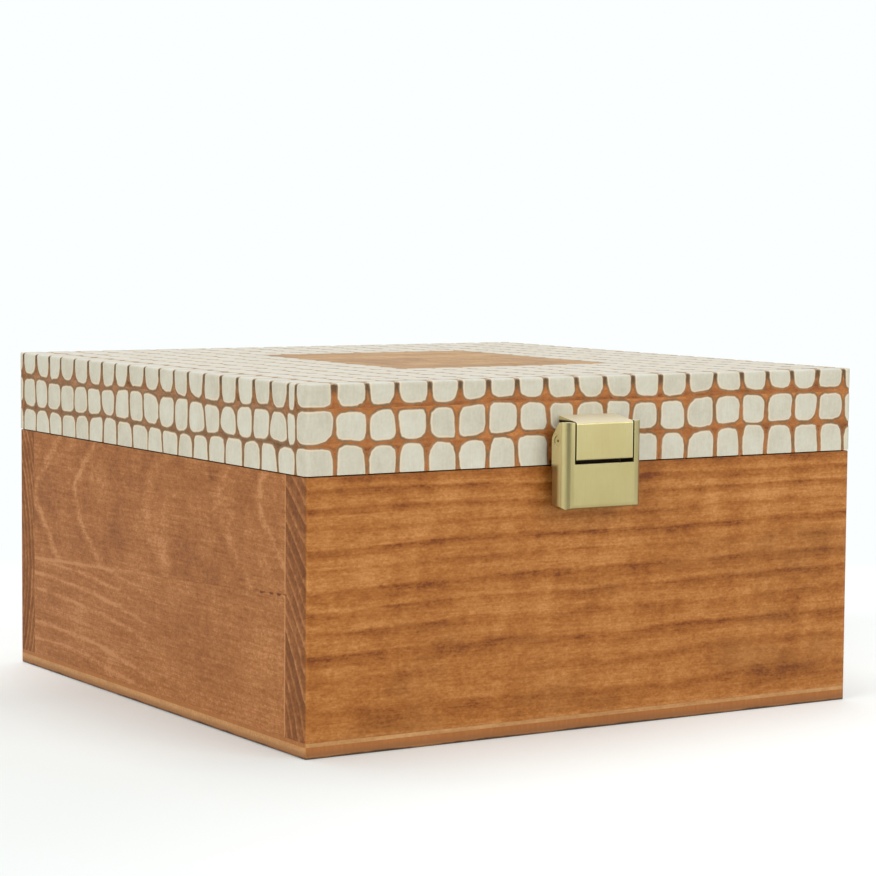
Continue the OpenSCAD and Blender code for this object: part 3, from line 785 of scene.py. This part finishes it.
def cell_outline(corners, gap, floor=None):
    """A hand-painted rounded cell inside four lattice points, from the lower left one on round. Floor cuts
    it off straight."""
    inward = ((1, 1), (-1, 1), (-1, -1), (1, -1))
    corners = [Vector((p[0] + u * gap / 2, p[1] + v * gap / 2)) for p, (u, v) in zip(corners, inward)]
    powers = [rng.uniform(*CORNER_POWERS) for _ in range(4)]
    waves = [(k, rng.uniform(0, BROAD_SIZE / k), rng.uniform(0, math.tau)) for k in BROAD_WAVES]
    waves += [(k, rng.uniform(0, RIPPLE_SIZE), rng.uniform(0, math.tau)) for k in BRUSH_RIPPLES]
    points = []
    for i in range(OUTLINE_POINTS):
        angle = math.tau * i / OUTLINE_POINTS
        power = powers[i * 4 // OUTLINE_POINTS]
        swell = CELL_FILL + sum(size * math.sin(k * angle + phase) for k, size, phase in waves)
        c, s = math.cos(angle), math.sin(angle)
        u = 0.5 + 0.5 * swell * math.copysign(abs(c) ** (2 / power), c)
        v = 0.5 + 0.5 * swell * math.copysign(abs(s) ** (2 / power), s)
        low_edge = corners[0].lerp(corners[1], u)
        high_edge = corners[3].lerp(corners[2], u)
        point = low_edge.lerp(high_edge, v)
        if floor is not None:
            point.y = max(point.y, floor)
        points.append(point)
    return points


def inset(points, amount, floor=None):
    """An outline drawn in towards its middle, apart from where the floor cuts it off."""
    middle = sum(points, Vector((0, 0))) / len(points)
    drawn = [middle + (p - middle) * (1 - amount / (p - middle).length) for p in points]
    for point, old in zip(drawn, points):
        if floor is not None and old.y <= floor:
            point.y = floor
    return drawn


class Layer:
    """Flat cells of paint, drawn as (u, v, height) in millimetres and then laid on a surface."""

    def __init__(self):
        self.bm = bmesh.new()
        self.rim = self.bm.verts.layers.float.new("rim")
        self.cell = self.bm.verts.layers.float.new("cell")

    def loop(self, points, height, rim, share):
        made = []
        for p in points:
            vert = self.bm.verts.new((p.x, p.y, height))
            vert[self.rim] = rim
            vert[self.cell] = share
            made.append(vert)
        return made

    def add(self, points, floor=None):
        """One closed cell: underside, stain line, sloping rim, soft shoulder and level middle."""
        share = rng.random()
        loops = []
        for amount, height, rim in CELL_LOOPS:
            loops.append(self.loop(inset(points, amount, floor), height, rim, share))
        for low, high in zip(loops, loops[1:]):
            for i in range(OUTLINE_POINTS):
                j = (i + 1) % OUTLINE_POINTS
                self.bm.faces.new((low[i], low[j], high[j], high[i]))
        self.bm.faces.new(loops[-1])
        self.bm.faces.new(list(reversed(loops[0])))

    def add_row(self, low_line, high_line, gap, floor=None, hidden=None):
        """A row of cells between two lists of lattice points, without those in the hidden stretch."""
        for i in range(len(low_line) - 1):
            corners = (low_line[i], low_line[i + 1], high_line[i + 1], high_line[i])
            if hidden is not None and hidden[0] < low_line[i][0] and low_line[i + 1][0] < hidden[1]:
                continue
            self.add(cell_outline(corners, gap, floor), floor)

    def cut(self, axis, places):
        """Cuts the faces along lines, so that they can bend there."""
        normal = Vector((1, 0, 0)) if axis == "u" else Vector((0, 1, 0))
        for place in places:
            geometry = self.bm.verts[:] + self.bm.edges[:] + self.bm.faces[:]
            bmesh.ops.bisect_plane(self.bm, geom=geometry, dist=CUT_SNAP, plane_co=normal * place,
                                   plane_no=normal)

    def lay(self, name, place):
        """Makes the piece, with each (u, v, height) put where place says, in millimetres."""
        for vert in self.bm.verts:
            vert.co = place(*vert.co) * MM
        bmesh.ops.recalc_face_normals(self.bm, faces=self.bm.faces[:])
        for face in self.bm.faces:
            face.smooth = True
        for edge in self.bm.edges:
            edge.smooth = edge.calc_face_angle(0) < SHARP_EDGE
        mesh = bpy.data.meshes.new(name)
        self.bm.to_mesh(mesh)
        self.bm.free()
        piece = bpy.data.objects.new(name, mesh)
        bpy.context.scene.collection.objects.link(piece)
        piece.data.materials.append(paint)
        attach(piece, "lid")


class LidSide(typing.NamedTuple):
    """One side of the lid. Lines are its lattice lines along its length, reach is how far its uppermost row
    goes on to the top, and levels are the heights of the gaps between its rows."""
    name: str
    lines: list
    half_along: float
    half_out: float
    reach: float
    levels: tuple
    gap: float


columns = [FIRST_COLUMN + COLUMN_PITCH * i for i in range(LINES)]
rows = [FIRST_ROW + ROW_PITCH * i for i in range(LINES)]
flipped_columns = [-line for line in reversed(columns)]
flipped_rows = [-line for line in reversed(rows)]
SIDES = [
    LidSide("front", columns, HALF_W, HALF_D, FIRST_ROW + HALF_D, END_HEIGHTS, END_GAP),
    LidSide("right", rows, HALF_D, HALF_W, HALF_W - columns[-1], SIDE_HEIGHTS, SIDE_GAP),
    LidSide("back", flipped_columns, HALF_W, HALF_D, HALF_D - rows[-1], END_HEIGHTS, END_GAP),
    LidSide("left", flipped_rows, HALF_D, HALF_W, FIRST_COLUMN + HALF_W, SIDE_HEIGHTS, SIDE_GAP),
]
# Distances up a side at which the paint bends over the lid's top edge, and the one from which a row's reach
# on to the top counts
BEND_LINES = [LID_H - EDGE_R + EDGE_R * math.pi / 2 * k / EDGE_CUTS for k in range(EDGE_CUTS + 1)]
TOP_EDGE = BEND_LINES[-1] - EDGE_R


def climb(v):
    """Inset, height and tilt of the lid's skin at a distance v up from its lower edge and over its top."""
    straight = LID_H - EDGE_R
    if v <= straight:
        return 0.0, v, 0.0
    tilt = (v - straight) / EDGE_R
    if tilt < math.pi / 2:
        return EDGE_R * (1 - math.cos(tilt)), straight + EDGE_R * math.sin(tilt), tilt
    return EDGE_R + v - straight - EDGE_R * math.pi / 2, LID_H, math.pi / 2


def turned_to(number):
    """The turn from the front to another side. Sides run round from the front to the right."""
    return Matrix.Rotation(math.pi / 2 * number, 3, "Z")


def on_side(number, side):
    """Place of a point on one side of the lid, where u runs to the right."""
    turn = turned_to(number)

    def place(u, v, height):
        drawn_in, z, tilt = climb(v)
        point = Vector((u, -side.half_out + drawn_in, LID_FLOOR + z))
        normal = Vector((0, -math.cos(tilt), math.sin(tilt)))
        return turn @ (point + normal * height)
    return place


def round_plan(x, y, half_x, half_y):
    """A plan point near the edge at (half_x, -half_y), put on the rounded plan, and its outward way."""
    dx, dy = x - half_x + CORNER_R, -y - half_y + CORNER_R
    reach = math.hypot(dx, dy)
    if dx <= 0 or dy <= 0:
        return x, y, Vector((1, 0)) if dx > dy else Vector((0, -1))
    if reach > CORNER_R:
        x = half_x - CORNER_R + dx * CORNER_R / reach
        y = -half_y + CORNER_R - dy * CORNER_R / reach
    return x, y, Vector((dx, -dy)) / reach


def on_corner(number, side, before, after):
    """Place of a point round the upright edge at the right end of a side. u runs round the edge, and the
    cell's arms are as long as before, on the side itself, and after, on the next one."""
    turn = turned_to(number)

    def place(u, v, height):
        drawn_in, z, tilt = climb(v)
        arm = before if u < 0 else after
        along = abs(u) * max(arm - drawn_in, 0) / arm + drawn_in
        if u < 0:
            x, y = side.half_along - along, -side.half_out + drawn_in
        else:
            x, y = side.half_along - drawn_in, -side.half_out + along
        x, y, outward = round_plan(x, y, side.half_along, side.half_out)
        normal = Vector((outward.x * math.cos(tilt), outward.y * math.cos(tilt), math.sin(tilt)))
        return turn @ (Vector((x, y, LID_FLOOR + z)) + normal * height)
    return place


def wander(u, half_along, phase):
    """How far the gap between two rows strays up or down, which dies away at the ends."""
    fade = min(1, (half_along - abs(u)) / WAVE_FADE)
    waves = [size * math.sin(u / length + k * phase) for k, (size, length) in enumerate(GAP_WAVES, 1)]
    return fade * sum(waves)


def row_marks(side):
    """The lattice lines of each row of a side, from the lowest row up."""
    lines = side.lines
    if side.name == "left":
        narrow = spread([lines[0], lines[-1] - NARROW_CELL], ROW_PITCH) + [lines[-1]]
        return [lines, narrow, narrow]
    if side.name == "front":
        clear = [line for line in lines if not LEVER_LOW.x < line < LEVER_HIGH.x]
        beside_latch = [LEVER_LOW.x + LATCH_TUCK, LEVER_HIGH.x - LATCH_TUCK]
        return [sorted(clear + beside_latch), lines, lines]
    return [lines] * ROWS


def paint_side(number, side):
    """The rows of one side. The uppermost goes over the edge, and the lowest leaves the latch's place
    bare."""
    phases = [rng.uniform(0, math.tau) for _ in side.levels]

    def height(line, u):
        """Height of a line below, between or above the rows, counted from the lowest."""
        if line == 0:
            return -CUT_OFF
        if line == ROWS:
            return TOP_EDGE + side.reach
        return side.levels[line - 1] + wander(u, side.half_along, phases[line - 1])

    layer = Layer()
    for row, marks in enumerate(row_marks(side)):
        low = [(u, height(row, u)) for u in moved(marks, SIDE_SLACK)]
        high = [(u, height(row + 1, u)) for u in moved(marks, SIDE_SLACK)]
        gap = side.gap + UPPER_GAP if row == ROWS - 1 else side.gap
        floor = LID_EDGE if row == 0 else None
        hidden = (LEVER_LOW.x, LEVER_HIGH.x) if row == 0 and side.name == "front" else None
        layer.add_row(low, high, gap, floor, hidden)
    layer.cut("v", BEND_LINES)
    layer.lay(f"painted_cells_{side.name}", on_side(number, side))


def paint_corner(number, side, following):
    """The cells round the upright edge between a side and the one that follows it."""
    before = side.half_along - side.lines[-1]
    after = following.half_along + following.lines[0]
    reach = min(side.reach, following.reach, before, after)
    heights = [-CUT_OFF, *CORNER_HEIGHTS, TOP_EDGE + reach]
    layer = Layer()
    for row in range(ROWS):
        low, high = [[(-before, level), (after, level)] for level in heights[row:row + 2]]
        layer.add_row(low, high, side.gap, LID_EDGE if row == 0 else None)
    layer.cut("v", BEND_LINES)
    layer.cut("u", [CORNER_R * k / CORNER_CUTS for k in range(-CORNER_CUTS, CORNER_CUTS + 1)])
    layer.lay(f"painted_cells_corner_{number}", on_corner(number, side, before, after))


def paint_top():
    """The cells on the top, round the bare rectangle."""
    across = spread([columns[0], BARE_LOW.x, BARE_HIGH.x, columns[-1]], COLUMN_PITCH)
    upward = spread([rows[0], BARE_LOW.y, BARE_HIGH.y, rows[-1]], ROW_PITCH)
    crossings = [[Vector((u, v)) for u in across] for v in upward]
    for line in crossings[1:-1]:
        for point in line[1:-1]:
            point += Vector((rng.uniform(-TOP_SLACK, TOP_SLACK), rng.uniform(-TOP_SLACK, TOP_SLACK)))
    layer = Layer()
    for low, high in zip(crossings, crossings[1:]):
        for i in range(len(across) - 1):
            corners = (low[i], low[i + 1], high[i + 1], high[i])
            middle = sum(corners, Vector((0, 0))) / 4
            if BARE_LOW.x < middle.x < BARE_HIGH.x and BARE_LOW.y < middle.y < BARE_HIGH.y:
                continue
            layer.add(cell_outline(corners, TOP_GAP))
    layer.lay("painted_cells_top", lambda u, v, height: Vector((u, v, TOP_HIGH.z + height)))


for number, side in enumerate(SIDES):
    paint_side(number, side)
for number, side in enumerate(SIDES):
    paint_corner(number, side, SIDES[(number + 1) % len(SIDES)])
paint_top()


# Camera, at the photograph's angle

AIM = Vector((5.83, 0, 68.83)) * MM
CAMERA_DISTANCE = 775.55 * MM
CAMERA_YAW = math.radians(-32.19)
CAMERA_PITCH = math.radians(4.60)
CAMERA_ROLL = math.radians(0.43)
LENS = 112.36
# Nearest and farthest distance that the camera sees, in metres
CLIP_START = 0.01
CLIP_END = 50


def make_camera():
    back = Vector((math.sin(CAMERA_YAW) * math.cos(CAMERA_PITCH),
                   -math.cos(CAMERA_YAW) * math.cos(CAMERA_PITCH),
                   math.sin(CAMERA_PITCH)))
    right = Vector((math.cos(CAMERA_YAW), math.sin(CAMERA_YAW), 0))
    up = back.cross(right)
    rolled_right = right * math.cos(CAMERA_ROLL) + up * math.sin(CAMERA_ROLL)
    rolled_up = up * math.cos(CAMERA_ROLL) - right * math.sin(CAMERA_ROLL)
    turn = Matrix((rolled_right, rolled_up, back)).transposed()
    camera = bpy.data.objects.new("camera", bpy.data.cameras.new("camera"))
    camera.data.lens = LENS
    camera.data.clip_start = CLIP_START
    camera.data.clip_end = CLIP_END
    camera.matrix_world = Matrix.Translation(AIM + back * CAMERA_DISTANCE) @ turn.to_4x4()
    bpy.context.scene.collection.objects.link(camera)
    bpy.context.scene.camera = camera


make_camera()


# World, floor and lamps, in metres

BACKGROUND = (0.965, 1.0, 1.0, 1.0)
WORLD_LIGHT = 0.5

FLOOR_SIZE = 40.0
FLOOR_COLOUR = (0.785, 0.805, 0.78, 1.0)
FLOOR_ROUGH = 0.7
FLOOR_GLOSS = 0.1
GLOW_COLOUR = (1.0, 1.0, 1.0, 1.0)
FLOOR_GLOW = 0.07
# More glow in front and to the right, and behind, with the stretches in millimetres over which it comes up
FRONT_GLOW = 0.24
FRONT_WAY = (0.6, -0.8)
FRONT_STRETCH = (-20.0, 160.0)
BACK_GLOW = 0.2
BACK_STRETCH = (20.0, 90.0)
# Distances from the middle of the box between which the floor goes over into the white background
FLOOR_FADE = (0.2, 0.35)

# Dark card in the camera's direction that only reflections show
CARD_PLACE = (-0.29, -0.68, 0.2)
CARD_SIZE = (0.42, 0.5)
CARD_TURN = math.radians(-26)
CARD_COLOUR = (0.05, 0.05, 0.04, 1.0)


def seen_rays(tree):
    """1 for rays from the camera, and for those that metal or glass sends on, 0 for the rest."""
    path = tree.nodes.new("ShaderNodeLightPath")
    total = path.outputs["Is Camera Ray"]
    for name in ("Is Glossy Ray", "Is Transmission Ray"):
        most = tree.nodes.new("ShaderNodeMath")
        most.operation = "MAXIMUM"
        tree.links.new(total, most.inputs[0])
        tree.links.new(path.outputs[name], most.inputs[1])
        total = most.outputs[0]
    return total


def make_world():
    """Plain soft light all round, behind which the background looks white."""
    world = bpy.data.worlds.new("studio")
    world.use_nodes = True
    bpy.context.scene.world = world
    tree = world.node_tree
    tree.nodes.clear()
    seen = tree.nodes.new("ShaderNodeBackground")
    seen.inputs["Color"].default_value = BACKGROUND
    light = tree.nodes.new("ShaderNodeBackground")
    light.inputs["Strength"].default_value = WORLD_LIGHT
    choice = tree.nodes.new("ShaderNodeMixShader")
    tree.links.new(seen_rays(tree), choice.inputs["Fac"])
    tree.links.new(light.outputs[0], choice.inputs[1])
    tree.links.new(seen.outputs[0], choice.inputs[2])
    tree.links.new(choice.outputs[0], tree.nodes.new("ShaderNodeOutputWorld").inputs["Surface"])


def floor_material():
    """Pale floor that keeps the box's shadow, glows a little and goes over into the background."""
    sh = Shader("floor")
    sh.put(sh.surface.inputs["Base Color"], FLOOR_COLOUR)
    sh.put(sh.surface.inputs["Roughness"], FLOOR_ROUGH)
    sh.put(sh.surface.inputs["Specular IOR Level"], FLOOR_GLOSS)
    sh.put(sh.surface.inputs["Emission Color"], GLOW_COLOUR)
    shown = Value(sh, seen_rays(sh.tree))
    ahead = (sh.x * FRONT_WAY[0] + sh.y * FRONT_WAY[1]).step(*FRONT_STRETCH)
    behind = sh.y.step(*BACK_STRETCH)
    glow = ahead * FRONT_GLOW + behind * BACK_GLOW + FLOOR_GLOW
    sh.put(sh.surface.inputs["Emission Strength"], shown * glow)
    far = ((sh.x ** 2 + sh.y ** 2).root() * MM).step(*FLOOR_FADE) * shown
    white = sh.node("ShaderNodeEmission")
    sh.put(white.inputs["Color"], BACKGROUND)
    choice = sh.node("ShaderNodeMixShader")
    sh.put(choice.inputs["Fac"], far)
    sh.put(choice.inputs[1], sh.surface.outputs[0])
    sh.put(choice.inputs[2], white.outputs[0])
    sh.put(sh.tree.nodes["Material Output"].inputs["Surface"], choice.outputs[0])
    return sh.material


def make_floor():
    bpy.ops.mesh.primitive_plane_add(size=FLOOR_SIZE)
    floor = bpy.context.object
    floor.name = "floor"
    floor.data.materials.append(floor_material())


def softbox(name, place, size, power, colour=(1, 1, 1)):
    """A square soft lamp that points where the camera aims."""
    lamp = bpy.data.objects.new(name, bpy.data.lights.new(name, "AREA"))
    lamp.data.shape = "SQUARE"
    lamp.data.size = size
    lamp.data.energy = power
    lamp.data.color = colour
    lamp.location = place
    lamp.rotation_euler = (AIM - Vector(place)).to_track_quat("-Z", "Y").to_euler()
    lamp.visible_camera = False
    bpy.context.scene.collection.objects.link(lamp)


def make_card():
    bpy.ops.mesh.primitive_plane_add(size=1.0, location=CARD_PLACE, rotation=(math.pi / 2, 0, CARD_TURN))
    card = bpy.context.object
    card.name = "dark_card"
    card.scale = (*CARD_SIZE, 1)
    card.visible_camera = False
    card.visible_diffuse = False
    card.visible_shadow = False
    material = bpy.data.materials.new("dark_card")
    material.use_nodes = True
    surface = material.node_tree.nodes["Principled BSDF"]
    surface.inputs["Base Color"].default_value = CARD_COLOUR
    card.data.materials.append(material)


make_world()
make_floor()
softbox("key", place=(0.45, -1.35, 0.6), size=1.1, power=9.6)
softbox("fill", place=(-1.25, -0.35, 0.55), size=0.9, power=8)
softbox("overhead", place=(0.0, 0.25, 1.4), size=1.0, power=9.5, colour=(0.94, 0.97, 1.0))
make_card()
bpy.context.scene.view_settings.view_transform = "Standard"
